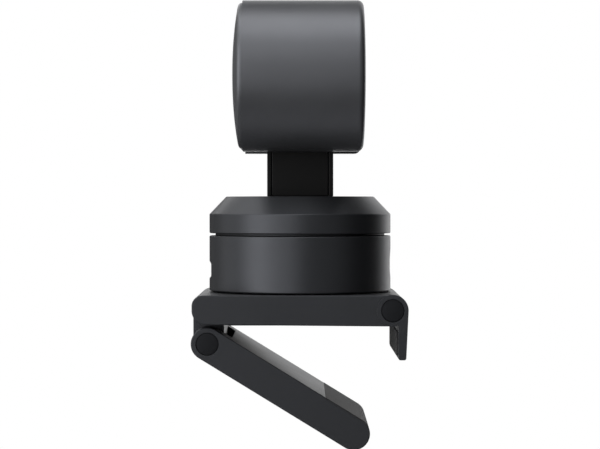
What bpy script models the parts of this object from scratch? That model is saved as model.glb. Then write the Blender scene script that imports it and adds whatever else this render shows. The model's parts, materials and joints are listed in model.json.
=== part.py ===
"""Motorised pan-and-tilt webcam on a folding monitor clip.

The lens looks along +X, +Z is up, and +Y is the camera's left-hand side.
The origin is the middle of the clip's rest pad, the face that sits on top of
a monitor, and it lies on the pan axis. Lengths below are millimetres, and
every mesh is made in metres.
"""

import math

import bmesh
import bpy
from mathutils import Matrix, Vector

MM = 0.001
GAP = 0.3                  # air between two pieces that rest on each other

# Clip plate, which lies on top of the monitor
PLATE_TOP = 7.35
PLATE_UNDER = 0.3          # the rest pad stands this far proud of the plate
PLATE_REACH = 25.9         # half of the plate's length along X
PLATE_HALF_WIDTH = 23.0
PLATE_REAR_TOP_RADIUS = 2.6
PLATE_REAR_BOTTOM_RADIUS = 3.4
REST_PAD_HALF_LENGTH = 17.2
REST_PAD_HALF_WIDTH = 20.5
REST_PAD_THICK = 1.1
PLATE_SCREW_CIRCLE = 12.0
SCREW_HEAD_RADIUS = 2.4
SCREW_SHANK_RADIUS = 1.2
SCREW_START_DEG = 10.0     # turns each circle of screws clear of the thread insert
THREAD_X = -9.5            # quarter-inch camera thread, behind the centre
THREAD_RADIUS = 3.175
THREAD_INSERT_RADIUS = 4.3
THREAD_INSERT_TOP = 6.4
THREAD_DEPTH = 5.6
PLATE_EDGE = 0.4
PAD_EDGE = 0.2

# Rear leg, folded flat under the plate at 0 degrees and shown part open
LEG_HINGE_X = -22.3
LEG_HINGE_Z = -4.45
LEG_OPEN_DEG = 31.5
LEG_LENGTH = 41.25         # hinge centre to the centre of the round tip
LEG_RADIUS = 3.95
LEG_HALF_WIDTH = 20.5
LEG_SLOT_HALF_WIDTH = 13.2
LEG_SLOT_DEPTH = 4.4
KNUCKLE_RADIUS = 3.75
KNUCKLE_HALF_WIDTH = 12.0
LEG_PAD_START = 31.0
LEG_PAD_PROUD = 0.1
LEG_PAD_THICK = 0.95
LEG_PAD_WRAP_DEG = 35.0     # how far the pad runs round the tip

# Front lip, which hooks over the monitor's front edge
LIP_PIN_X = 22.15
LIP_PIN_Z = 3.7
LIP_EYE_RADIUS = 3.8
LIP_BOTTOM = -8.15
LIP_INNER_X = 23.5
LIP_OUTER_BOTTOM_X = 25.4
LIP_CHEEK_START = 17.0     # the cheeks run from here to the plate's side
LIP_SWING_RADIUS = 4.15
LIP_PAD_FACE_X = 23.2
LIP_PAD_THICK = 0.75
LIP_PAD_TOP = -1.4
LIP_PAD_HALF_WIDTH = 19.0
LIP_RIM = 0.9               # the lip shows this much below its pad
LIP_CORNER = 0.4
LIP_EDGE = 0.3

# Hinge pins and their caps, shared by the leg and the lip
PIN_RADIUS = 1.2
PIN_HOLE_RADIUS = 1.5
CAP_RADIUS = 2.7
CAP_THICK = 0.8
CAP_RECESS = 0.2
WASHER_RADIUS = 3.2

# Round base with the pan drive
BASE_RADIUS = 22.6
BASE_WALL = 1.6
BASE_BOTTOM = 7.65
BASE_TOP = 21.35
USB_Z = 12.9
USB_RECESS_HEIGHT = 4.3
USB_RECESS_X = -22.0
USB_RECESS_HALF_WIDTH = 7.0
USB_WIDTH = 8.94
USB_HEIGHT = 3.26
USB_SHELL_THICK = 0.35
USB_FRONT_X = -21.6
USB_BACK_X = -14.4
USB_TONGUE_HALF_WIDTH = 3.35
USB_TONGUE_HALF_THICK = 0.35
WINDOW_Z = 14.35
WINDOW_RADIUS = 3.7
WINDOW_BACK_X = 20.9
WINDOW_FRONT_X = 22.3
ROOF_HOLE_RADIUS = 6.8       # the pan bearing sits in it
BASE_COVER_TOP = 9.25
BOARD_BOTTOM = 9.7
BOARD_THICK = 1.0
SHAFT_RADIUS = 2.55
SHAFT_HOLE_RADIUS = 2.9
MOTOR_RADIUS = 11.0
MOTOR_BOTTOM = 9.6
MOTOR_TOP = 19.3
BEARING_RADIUS = 6.45
BEARING_BOTTOM = 19.85
BEARING_TOP = 21.2

# Turning cap above the pan gap
CAP_BOTTOM = 21.95
CAP_SHOULDER = 26.65
CAP_TOP = 31.05
CAP_TOP_RADIUS = 18.4
TURNTABLE_RADIUS = 21.1
TURNTABLE_BOTTOM = 21.65
TURNTABLE_TOP = 23.35
TURNTABLE_SCREW_CIRCLE = 16.5
SHAFT_BOTTOM = 10.2
SHAFT_TOP = 25.8
SHAFT_BORE_RADIUS = 1.2
NUT_RADIUS = 5.2
NUT_BOTTOM = 23.65
NUT_TOP = 25.4
BOSS_RADIUS = 2.6            # screw bosses inside the turning cap

# Neck, a flat post of three layers
NECK_REAR_X = -8.1
NECK_FRONT_X = 8.2
NECK_HALF_WIDTH = 7.0
NECK_COVER_THICK = 1.1
NECK_COVER_TOP = 53.0
TENON_BOTTOM = 26.2          # the neck's foot is let into the turning cap
TENON_HALF_LENGTH = 6.0
TENON_HALF_WIDTH = 5.0
CABLE_HALF_WIDTH = 3.5
CABLE_HALF_THICK = 0.25
CABLE_BOTTOM = 26.8
CABLE_TOP = 54.4

# Head: a drum with a racetrack front, tilting about its own centre
HEAD_Z = 60.35
HEAD_RADIUS = 18.325
HEAD_FLAT = 12.7           # half of the flat stretch of the racetrack
HEAD_REAR_X = -15.1
HEAD_FRONT_X = 15.4
HEAD_WALL = 1.6
HEAD_EDGE = 1.2
REAR_COVER_X = -16.5
GLASS_EDGE_X = 15.5
GLASS_FRONT_X = 16.3
GLASS_BACK_X = 14.2
TILT_UP_DEG = 45.0
TILT_DOWN_DEG = 25.0
SLOT_HALF_WIDTH = 7.6
SLOT_CLEARANCE = 0.4
MAIN_LENS_Y = -15.6
MAIN_BARREL_RADIUS = 6.8
SECOND_LENS_Y = 15.6
SECOND_BARREL_RADIUS = 4.6
TILT_MOTOR_RADIUS = 5.0
TILT_SHAFT_RADIUS = 1.5
TILT_SHAFT_HALF_LENGTH = 12.0
HUB_INNER_Y = 7.9
HUB_OUTER_Y = 9.4
SPIGOT_X = -13.7             # how far the rear cover's rim reaches into the drum
SPIGOT_WALL = 1.4
BARREL_BACK_X = 4.8
BARREL_FRONT_X = 15.75
BORE_SHARE = 0.62            # of the barrel's radius
LENS_BACK_X = 9.0
LENS_FRONT_X = 13.2
FRAME_BACK_X = 12.4
FRAME_FRONT_X = 13.9

ROUND = 48                 # sides of the large turned pieces
MEDIUM_ROUND = 28          # sides of lenses, motors and windows
SMALL_ROUND = 16           # sides of pins, screws and caps
SHARP_EDGE_DEG = 32.0


# ---------------------------------------------------------------- materials

def make_material(name, colour, roughness, metallic=0.0):
    material = bpy.data.materials.new(name)
    material.use_nodes = True
    shader = material.node_tree.nodes["Principled BSDF"]
    shader.inputs["Base Color"].default_value = (*colour, 1.0)
    shader.inputs["Roughness"].default_value = roughness
    shader.inputs["Metallic"].default_value = metallic
    material.diffuse_color = (*colour, 1.0)
    return material


FINISHES = {
    "satin_plastic": ((0.045, 0.046, 0.049), 0.42, 0.0),
    "clip_plastic": ((0.028, 0.029, 0.031), 0.5, 0.0),
    "gloss_black": ((0.006, 0.006, 0.007), 0.18, 0.0),
    "rubber": ((0.02, 0.02, 0.022), 0.8, 0.0),
    "smoked_glass": ((0.004, 0.004, 0.005), 0.05, 0.0),
    "lens_glass": ((0.02, 0.02, 0.05), 0.02, 0.0),
    "steel": ((0.55, 0.55, 0.56), 0.3, 1.0),
    "brass": ((0.7, 0.52, 0.25), 0.35, 1.0),
    "aluminium": ((0.7, 0.71, 0.72), 0.4, 1.0),
    "circuit_board": ((0.01, 0.09, 0.045), 0.55, 0.0),
    "flex_film": ((0.45, 0.2, 0.03), 0.4, 0.0),
    "indicator": ((0.02, 0.022, 0.025), 0.12, 0.0),
}


# ------------------------------------------------------------ mesh building

def point_on(centre, radius, angle_deg):
    angle = math.radians(angle_deg)
    return (centre[0] + radius * math.cos(angle), centre[1] + radius * math.sin(angle))


def arc(centre, radius, start_deg, end_deg, steps):
    """Points along an arc, both ends included."""
    span = end_deg - start_deg
    return [point_on(centre, radius, start_deg + span * i / steps) for i in range(steps + 1)]


def extruded(outline, y_start, y_end):
    """A solid with one XZ outline, carried along Y."""
    bm = bmesh.new()
    near = [bm.verts.new((x * MM, y_start * MM, z * MM)) for x, z in outline]
    far = [bm.verts.new((x * MM, y_end * MM, z * MM)) for x, z in outline]
    bm.faces.new(near)
    bm.faces.new(far)
    for i in range(len(outline)):
        j = (i + 1) % len(outline)
        bm.faces.new((near[i], near[j], far[j], far[i]))
    bmesh.ops.recalc_face_normals(bm, faces=bm.faces)
    return bm


def block(x_start, x_end, y_start, y_end, z_start, z_end):
    corners = [(x_start, z_start), (x_end, z_start), (x_end, z_end), (x_start, z_end)]
    return extruded(corners, y_start, y_end)


def disc_outline(centre, radius, steps=ROUND // 2):
    return arc(centre, radius, 0.0, 360.0, steps)[:-1]


def turned(profile, sides=ROUND):
    """A solid turned about Z from a closed loop of (radius, height) points."""
    bm = bmesh.new()
    rings = []
    for radius, height in profile:
        if radius == 0.0:
            rings.append([bm.verts.new((0.0, 0.0, height * MM))])
            continue
        flat = arc((0.0, 0.0), radius, 0.0, 360.0, sides)[:-1]
        rings.append([bm.verts.new((x * MM, y * MM, height * MM)) for x, y in flat])
    for index, lower in enumerate(rings):
        upper = rings[(index + 1) % len(rings)]
        for i in range(sides):
            j = (i + 1) % sides
            corners = [lower[i % len(lower)], lower[j % len(lower)],
                       upper[j % len(upper)], upper[i % len(upper)]]
            unique = list(dict.fromkeys(corners))
            if len(unique) > 2:
                bm.faces.new(unique)
    bmesh.ops.recalc_face_normals(bm, faces=bm.faces)
    return bm


def turned_along(axis, centre, profile, sides=ROUND):
    """A turned solid whose axis is X or Y, moved to its centre."""
    turn = {"X": Matrix.Rotation(math.radians(90.0), 4, "Y"),
            "Y": Matrix.Rotation(math.radians(-90.0), 4, "X")}[axis]
    bm = turned(profile, sides)
    bm.transform(Matrix.Translation(Vector(centre) * MM) @ turn)
    return bm


def rod(radius, start, end):
    return [(0.0, start), (radius, start), (radius, end), (0.0, end)]


def stepped_rod(first, second, end):
    """A round bar of two (radius, start) steps."""
    return [(0.0, first[1]), first, (first[0], second[1]), second, (second[0], end), (0.0, end)]


def ring(inner, outer, start, end):
    return [(inner, start), (outer, start), (outer, end), (inner, end)]


def racetrack(radius, flat, steps=12):
    """Points (y, z) round a racetrack: two half circles and two flats."""
    right = arc((flat, 0.0), radius, -90.0, 90.0, steps)
    left = arc((-flat, 0.0), radius, 90.0, 270.0, steps)
    return right + left


def lofted_head(sections, flat=HEAD_FLAT, centre_z=HEAD_Z, steps=12):
    """A solid through racetrack sections (x, radius), closed at both ends."""
    bm = bmesh.new()
    rings = [[bm.verts.new((x * MM, y * MM, (centre_z + z) * MM))
              for y, z in racetrack(radius, flat, steps)] for x, radius in sections]
    for lower, upper in zip(rings, rings[1:]):
        for i in range(len(lower)):
            j = (i + 1) % len(lower)
            bm.faces.new((lower[i], lower[j], upper[j], upper[i]))
    bm.faces.new(rings[0])
    bm.faces.new(rings[-1])
    bmesh.ops.recalc_face_normals(bm, faces=bm.faces)
    return bm


def bevelled(bm, width, angle_deg=60.0, segments=2):
    """Rounds every edge sharper than the angle."""
    edges = [edge for edge in bm.edges
             if edge.calc_face_angle(0.0) > math.radians(angle_deg)]
    bmesh.ops.bevel(bm, geom=edges, offset=width * MM, segments=segments,
                    affect="EDGES", profile=0.5)
    return bm


# ---------------------------------------------------------- objects in scene

def clear_scene():
    for thing in list(bpy.data.objects):
        bpy.data.objects.remove(thing, do_unlink=True)


def link(name, bm):
    mesh = bpy.data.meshes.new(name)
    bm.to_mesh(mesh)
    bm.free()
    mesh.shade_smooth()
    mesh.set_sharp_from_angle(angle=math.radians(SHARP_EDGE_DEG))
    thing = bpy.data.objects.new(name, mesh)
    bpy.context.scene.collection.objects.link(thing)
    return thing


def make_piece(name, bm, finish, parent=None):
    """Adds a named sub-part; its mesh is made in the parent's own frame."""
    thing = link(name, bm)
    thing.data.materials.append(MATERIALS[finish])
    thing.parent = parent
    return thing


def boolean(thing, tool_bm, operation):
    tool = link(f"{thing.name}_{operation.lower()}_{len(thing.modifiers)}", tool_bm)
    tool.hide_render = True
    tool.display_type = "WIRE"
    tool.parent = thing.parent
    modifier = thing.modifiers.new(tool.name, "BOOLEAN")
    modifier.operation = operation
    modifier.solver = "EXACT"
    modifier.object = tool


def cut(thing, *tools):
    for tool in tools:
        boolean(thing, tool, "DIFFERENCE")


def add(thing, *tools):
    for tool in tools:
        boolean(thing, tool, "UNION")


def axis_empty(name, location, parent=None, turn_y_deg=0.0):
    """An empty on a joint's axis, which carries the pieces that turn."""
    empty = bpy.data.objects.new(name, None)
    empty.empty_display_size = 10.0 * MM
    empty.location = Vector(location) * MM
    empty.rotation_euler = (0.0, math.radians(turn_y_deg), 0.0)
    empty.parent = parent
    bpy.context.scene.collection.objects.link(empty)
    return empty


def moved(bm, x, y, z):
    bm.transform(Matrix.Translation(Vector((x, y, z)) * MM))
    return bm


# ------------------------------------------------------------ the fixed clip

def plate_outline():
    radius = (PLATE_TOP - PLATE_UNDER) / 2.0
    front = arc((PLATE_REACH - radius, PLATE_UNDER + radius), radius, -90.0, 90.0, 12)
    top = PLATE_REAR_TOP_RADIUS
    bottom = PLATE_REAR_BOTTOM_RADIUS
    rear = arc((top - PLATE_REACH, PLATE_TOP - top), top, 90.0, 180.0, 6)
    rear += arc((bottom - PLATE_REACH, PLATE_UNDER + bottom), bottom, 180.0, 270.0, 6)
    return front + rear


def screw_places(circle, count=3):
    return [point_on((0.0, 0.0), circle, SCREW_START_DEG + 360.0 * i / count) for i in range(count)]


def make_clip_plate():
    plate = make_piece("clip_plate", bevelled(
        extruded(plate_outline(), -PLATE_HALF_WIDTH, PLATE_HALF_WIDTH), PLATE_EDGE), "clip_plastic")
    hinge = (LEG_HINGE_X, LEG_HINGE_Z)
    knuckle = arc(hinge, KNUCKLE_RADIUS, 180.0, 360.0, 14)
    top = (PLATE_TOP + PLATE_UNDER) / 2.0
    knuckle += [(LEG_HINGE_X + KNUCKLE_RADIUS, top), (LEG_HINGE_X - KNUCKLE_RADIUS + 0.2, top)]
    add(plate, extruded(knuckle, -KNUCKLE_HALF_WIDTH, KNUCKLE_HALF_WIDTH))
    cut(plate, extruded(disc_outline(hinge, PIN_HOLE_RADIUS, SMALL_ROUND),
                        -KNUCKLE_HALF_WIDTH - 1.0, KNUCKLE_HALF_WIDTH + 1.0))

    pin = (LIP_PIN_X, LIP_PIN_Z)
    past_end = PLATE_REACH + 2.0
    swing = arc(pin, LIP_SWING_RADIUS, 90.0, 270.0, 16)
    swing += [(past_end, LIP_PIN_Z - LIP_SWING_RADIUS), (past_end, LIP_PIN_Z + LIP_SWING_RADIUS)]
    cheek_room = LIP_CHEEK_START - 0.4
    for side in (-1.0, 1.0):
        cut(plate, extruded(swing, side * cheek_room, side * (PLATE_HALF_WIDTH + 2.0)))
    cut(plate, extruded(disc_outline(pin, PIN_HOLE_RADIUS, SMALL_ROUND),
                        -PLATE_HALF_WIDTH, PLATE_HALF_WIDTH))

    pocket_top = REST_PAD_THICK + GAP
    cut(plate, block(-REST_PAD_HALF_LENGTH - GAP, REST_PAD_HALF_LENGTH + GAP,
                     -REST_PAD_HALF_WIDTH - GAP, REST_PAD_HALF_WIDTH + GAP,
                     PLATE_UNDER - 1.0, pocket_top))
    insert_room = rod(THREAD_INSERT_RADIUS + GAP, 0.0, THREAD_INSERT_TOP + GAP)
    cut(plate, moved(turned(insert_room, SMALL_ROUND), THREAD_X, 0.0, 0.0))
    screw_room = stepped_rod((SCREW_HEAD_RADIUS + GAP + 0.1, 0.5), (SCREW_SHANK_RADIUS + GAP, 4.0),
                             PLATE_TOP + 1.0)
    for x, y in screw_places(PLATE_SCREW_CIRCLE):
        cut(plate, moved(turned(screw_room, SMALL_ROUND), x, y, 0.0))


def make_rest_pad():
    pad = make_piece("rest_pad", bevelled(
        block(-REST_PAD_HALF_LENGTH, REST_PAD_HALF_LENGTH, -REST_PAD_HALF_WIDTH,
              REST_PAD_HALF_WIDTH, 0.0, REST_PAD_THICK), PAD_EDGE, segments=1), "rubber")
    hole = rod(THREAD_INSERT_RADIUS + GAP, -1.0, REST_PAD_THICK + 1.0)
    cut(pad, moved(turned(hole, SMALL_ROUND), THREAD_X, 0.0, 0.0))


def make_thread_insert():
    mouth = 0.5
    lead_in = 0.4
    profile = [(0.0, THREAD_INSERT_TOP), (THREAD_INSERT_RADIUS, THREAD_INSERT_TOP),
               (THREAD_INSERT_RADIUS, mouth), (THREAD_RADIUS + lead_in, mouth),
               (THREAD_RADIUS, mouth + lead_in), (THREAD_RADIUS, THREAD_DEPTH), (0.0, THREAD_DEPTH)]
    make_piece("tripod_thread_insert", moved(turned(profile, SMALL_ROUND), THREAD_X, 0.0, 0.0), "brass")


def make_plate_screws():
    profile = stepped_rod((SCREW_HEAD_RADIUS, 1.7), (SCREW_SHANK_RADIUS, 3.7), BASE_COVER_TOP - 0.15)
    for number, (x, y) in enumerate(screw_places(PLATE_SCREW_CIRCLE), 1):
        make_piece(f"plate_screw_{number}", moved(turned(profile, SMALL_ROUND), x, y, 0.0), "steel")


# ------------------------------------------------------------- hinge hardware

def make_pin_and_caps(prefix, centre, half_width, parent):
    """A steel pin along Y with a snap-in cap at each end."""
    cap_outer = half_width - CAP_RECESS
    cap_inner = cap_outer - CAP_THICK
    pin_end = cap_inner - GAP
    pin = turned_along("Y", (centre[0], 0.0, centre[1]), rod(PIN_RADIUS, -pin_end, pin_end), SMALL_ROUND)
    make_piece(f"{prefix}_hinge_pin", pin, "steel", parent)
    for side, word in ((-1.0, "right"), (1.0, "left")):
        low, high = sorted((side * cap_inner, side * cap_outer))
        cap = turned_along("Y", (centre[0], 0.0, centre[1]), rod(CAP_RADIUS, low, high), MEDIUM_ROUND)
        make_piece(f"{prefix}_pin_cap_{word}", cap, "gloss_black", parent)


def cut_pin_holes(thing, centre, half_width):
    cut(thing, extruded(disc_outline(centre, PIN_HOLE_RADIUS, SMALL_ROUND),
                        -half_width - 1.0, half_width + 1.0))
    recess = half_width - CAP_RECESS - CAP_THICK - 0.15
    for side in (-1.0, 1.0):
        cut(thing, extruded(disc_outline(centre, CAP_RADIUS + GAP),
                            side * recess, side * (half_width + 1.0)))


# ---------------------------------------------------------------- rear leg

def make_leg(hinge):
    """Made in the hinge's frame: +X runs down the leg, +Z is the monitor side."""
    outline = arc((LEG_LENGTH, 0.0), LEG_RADIUS, -90.0, 90.0, 12)
    outline += arc((0.0, 0.0), LEG_RADIUS, 90.0, 270.0, 12)
    leg = make_piece("leg", bevelled(
        extruded(outline, -LEG_HALF_WIDTH, LEG_HALF_WIDTH), PLATE_EDGE), "clip_plastic", hinge)
    cut(leg, block(-LEG_RADIUS - 1.0, LEG_SLOT_DEPTH, -LEG_SLOT_HALF_WIDTH, LEG_SLOT_HALF_WIDTH,
                   -LEG_RADIUS - 1.0, LEG_RADIUS + 1.0))
    cut_pin_holes(leg, (0.0, 0.0), LEG_HALF_WIDTH)
    room = leg_pad_outline(GAP, 1.0)
    cut(leg, extruded(room, -LEG_HALF_WIDTH - 1.0, LEG_HALF_WIDTH + 1.0))


def leg_pad_outline(margin=0.0, above=0.0):
    """The pad's side view: a flat strip that wraps a little way round the tip."""
    tip = (LEG_LENGTH, 0.0)
    outer = LEG_RADIUS + LEG_PAD_PROUD + above
    inner = LEG_RADIUS + LEG_PAD_PROUD - LEG_PAD_THICK - margin
    end_deg = 90.0 - LEG_PAD_WRAP_DEG - math.degrees(margin / LEG_RADIUS)
    outline = [(LEG_PAD_START - margin, inner)] + arc(tip, inner, 90.0, end_deg, 4)
    return outline + arc(tip, outer, end_deg, 90.0, 4) + [(LEG_PAD_START - margin, outer)]


def make_leg_pad(hinge):
    pad = extruded(leg_pad_outline(), -LEG_HALF_WIDTH, LEG_HALF_WIDTH)
    make_piece("leg_pad", bevelled(pad, PAD_EDGE * 0.75, segments=1), "rubber", hinge)


def make_leg_washers(hinge):
    for side, word in ((-1.0, "right"), (1.0, "left")):
        low, high = sorted((side * (KNUCKLE_HALF_WIDTH + GAP), side * (LEG_SLOT_HALF_WIDTH - GAP)))
        washer = turned_along("Y", (0.0, 0.0, 0.0), ring(PIN_HOLE_RADIUS, WASHER_RADIUS, low, high),
                              SMALL_ROUND)
        make_piece(f"leg_friction_washer_{word}", washer, "steel", hinge)


# ---------------------------------------------------------------- front lip

def make_lip(hinge):
    """Made in the pin's frame, with the pin's centre at 0, 0."""
    bottom = LIP_BOTTOM - LIP_PIN_Z
    inner = LIP_INNER_X - LIP_PIN_X
    outer = LIP_OUTER_BOTTOM_X - LIP_PIN_X
    corner = LIP_CORNER
    join_deg = math.degrees(math.acos(inner / LIP_EYE_RADIUS))
    outline = arc((0.0, 0.0), LIP_EYE_RADIUS, 0.0, 360.0 - join_deg, 26)
    outline += arc((inner + corner, bottom + corner), corner, 180.0, 270.0, 3)
    outline += arc((outer - corner, bottom + corner), corner, 270.0, 360.0, 3)
    lip = make_piece("front_lip", bevelled(
        extruded(outline, -PLATE_HALF_WIDTH, PLATE_HALF_WIDTH), LIP_EDGE), "clip_plastic", hinge)
    above = PLATE_UNDER - 0.1 - LIP_PIN_Z
    room = arc((0.0, 0.0), LIP_SWING_RADIUS, 90.0, 270.0 + 20.0, 16)
    room += [(LIP_SWING_RADIUS + 1.0, above - 0.2), (LIP_SWING_RADIUS + 1.0, LIP_SWING_RADIUS)]
    cut(lip, extruded(room, -LIP_CHEEK_START, LIP_CHEEK_START))
    cut_pin_holes(lip, (0.0, 0.0), PLATE_HALF_WIDTH)
    pad_floor = LIP_PAD_FACE_X + LIP_PAD_THICK + GAP - LIP_PIN_X
    low = LIP_BOTTOM + LIP_RIM - LIP_PIN_Z
    half_width = LIP_PAD_HALF_WIDTH + GAP
    cut(lip, block(0.0, pad_floor, -half_width, half_width, low - GAP, LIP_PAD_TOP - LIP_PIN_Z + GAP))


def make_lip_pad(hinge):
    face = LIP_PAD_FACE_X - LIP_PIN_X
    back = face + LIP_PAD_THICK
    low = LIP_BOTTOM + LIP_RIM - LIP_PIN_Z
    pad = bevelled(block(face, back, -LIP_PAD_HALF_WIDTH, LIP_PAD_HALF_WIDTH, low,
                         LIP_PAD_TOP - LIP_PIN_Z), PAD_EDGE, segments=1)
    make_piece("lip_pad", pad, "rubber", hinge)


# --------------------------------------------------------------- round base

def make_base_shell():
    inner = BASE_RADIUS - BASE_WALL
    edge = PLATE_EDGE
    roof = BASE_TOP - BASE_WALL
    profile = [(inner, BASE_BOTTOM), (BASE_RADIUS - edge, BASE_BOTTOM),
               (BASE_RADIUS, BASE_BOTTOM + edge), (BASE_RADIUS, BASE_TOP - edge),
               (BASE_RADIUS - edge, BASE_TOP), (ROOF_HOLE_RADIUS, BASE_TOP),
               (ROOF_HOLE_RADIUS, roof), (inner, roof)]
    shell = make_piece("base_shell", turned(profile), "satin_plastic")
    half = USB_RECESS_HEIGHT / 2.0
    cut(shell, block(-BASE_RADIUS - 2.0, USB_RECESS_X, -USB_RECESS_HALF_WIDTH, USB_RECESS_HALF_WIDTH,
                     USB_Z - half, USB_Z + half))
    cut(shell, usb_outline_solid(USB_WIDTH + 2 * GAP, USB_HEIGHT + 2 * GAP, -BASE_RADIUS - 1.0, 2.0 - inner))
    window_room = rod(WINDOW_RADIUS + GAP, WINDOW_BACK_X - 3.0, WINDOW_FRONT_X + 2.0)
    cut(shell, turned_along("X", (0.0, 0.0, WINDOW_Z), window_room, MEDIUM_ROUND))


def usb_outline_solid(width, height, x_start, x_end):
    """A solid with the racetrack outline of a USB-C shell, along X."""
    radius = height / 2.0
    return lofted_head([(x_start, radius), (x_end, radius)], width / 2.0 - radius, USB_Z, 8)


def make_usb_socket():
    back_wall = 1.0
    shell = usb_outline_solid(USB_WIDTH, USB_HEIGHT, USB_FRONT_X, USB_BACK_X)
    socket = make_piece("usb_c_socket", shell, "steel")
    cut(socket, usb_outline_solid(USB_WIDTH - 2 * USB_SHELL_THICK, USB_HEIGHT - 2 * USB_SHELL_THICK,
                                  USB_FRONT_X - 1.0, USB_BACK_X - back_wall))
    add(socket, block(USB_FRONT_X + 0.8, USB_BACK_X - back_wall / 2.0, -USB_TONGUE_HALF_WIDTH,
                      USB_TONGUE_HALF_WIDTH, USB_Z - USB_TONGUE_HALF_THICK, USB_Z + USB_TONGUE_HALF_THICK))


def make_status_window():
    profile = [(0.0, WINDOW_BACK_X), (WINDOW_RADIUS, WINDOW_BACK_X), (WINDOW_RADIUS, WINDOW_FRONT_X - 0.1),
               (WINDOW_RADIUS - 0.2, WINDOW_FRONT_X), (0.0, WINDOW_FRONT_X)]
    make_piece("status_window", turned_along("X", (0.0, 0.0, WINDOW_Z), profile, MEDIUM_ROUND), "indicator")


def make_base_inside():
    cable_hole_radius = 3.0
    inside = BASE_RADIUS - BASE_WALL - GAP
    cover = make_piece("base_bottom_cover", turned(ring(cable_hole_radius, inside, BASE_BOTTOM,
                                                        BASE_COVER_TOP)), "clip_plastic")
    for x, y in screw_places(PLATE_SCREW_CIRCLE):
        hole = rod(SCREW_SHANK_RADIUS + GAP, BASE_BOTTOM - 1.0, BASE_COVER_TOP + 1.0)
        cut(cover, moved(turned(hole, SMALL_ROUND), x, y, 0.0))
    board = ring(MOTOR_RADIUS + 0.8, inside - GAP, BOARD_BOTTOM, BOARD_BOTTOM + BOARD_THICK)
    make_piece("main_board", turned(board, MEDIUM_ROUND), "circuit_board")
    motor = ring(SHAFT_HOLE_RADIUS, MOTOR_RADIUS, MOTOR_BOTTOM, MOTOR_TOP)
    make_piece("pan_motor", turned(motor, MEDIUM_ROUND), "aluminium")
    bearing = ring(SHAFT_HOLE_RADIUS, BEARING_RADIUS, BEARING_BOTTOM, BEARING_TOP)
    make_piece("pan_bearing", turned(bearing, MEDIUM_ROUND), "steel")


# ------------------------------------------------------------- turning stage

def make_turntable(pan):
    table = make_piece("turntable", turned(ring(SHAFT_HOLE_RADIUS, TURNTABLE_RADIUS, TURNTABLE_BOTTOM,
                                                TURNTABLE_TOP)), "clip_plastic", pan)
    room = stepped_rod((2.6, TURNTABLE_BOTTOM - 0.65), (1.4, 22.6), TURNTABLE_TOP + 0.65)
    for x, y in screw_places(TURNTABLE_SCREW_CIRCLE):
        cut(table, moved(turned(room, SMALL_ROUND), x, y, 0.0))


def make_turntable_screws(pan):
    profile = stepped_rod((2.2, TURNTABLE_BOTTOM + 0.1), (1.1, 22.3), 27.5)
    for number, (x, y) in enumerate(screw_places(TURNTABLE_SCREW_CIRCLE), 1):
        screw = moved(turned(profile, SMALL_ROUND), x, y, 0.0)
        make_piece(f"turntable_screw_{number}", screw, "steel", pan)


def make_pan_shaft(pan):
    shaft = ring(SHAFT_BORE_RADIUS, SHAFT_RADIUS, SHAFT_BOTTOM, SHAFT_TOP)
    make_piece("pan_shaft", turned(shaft, SMALL_ROUND), "steel", pan)
    nut = make_piece("pan_shaft_nut", turned(rod(NUT_RADIUS, NUT_BOTTOM, NUT_TOP), 6), "steel", pan)
    cut(nut, turned(rod(SHAFT_HOLE_RADIUS, NUT_BOTTOM - 0.65, NUT_TOP + 0.6), SMALL_ROUND))


def make_pan_cap(pan):
    wall = BASE_RADIUS - TURNTABLE_RADIUS - GAP
    edge = PLATE_EDGE
    inner = BASE_RADIUS - wall
    roof = CAP_TOP - BASE_WALL
    profile = [(inner, CAP_BOTTOM), (BASE_RADIUS - edge, CAP_BOTTOM),
               (BASE_RADIUS, CAP_BOTTOM + edge), (BASE_RADIUS, CAP_SHOULDER),
               (CAP_TOP_RADIUS, CAP_TOP), (0.0, CAP_TOP), (0.0, roof),
               (CAP_TOP_RADIUS - wall, roof), (inner, CAP_SHOULDER)]
    cap = make_piece("pan_cap", turned(profile), "satin_plastic", pan)
    for x, y in screw_places(TURNTABLE_SCREW_CIRCLE):
        boss = rod(BOSS_RADIUS, TURNTABLE_TOP + 0.35, roof + 0.5)
        add(cap, moved(turned(boss, SMALL_ROUND), x, y, 0.0))
    for x, y in screw_places(TURNTABLE_SCREW_CIRCLE):
        cut(cap, moved(turned(rod(1.4, TURNTABLE_TOP - 0.35, 28.0), SMALL_ROUND), x, y, 0.0))
    length = TENON_HALF_LENGTH + GAP
    width = TENON_HALF_WIDTH + GAP
    cut(cap, block(-length, length, -width, width, roof - 1.0, CAP_TOP + 1.0))


# --------------------------------------------------------------------- neck

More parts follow.
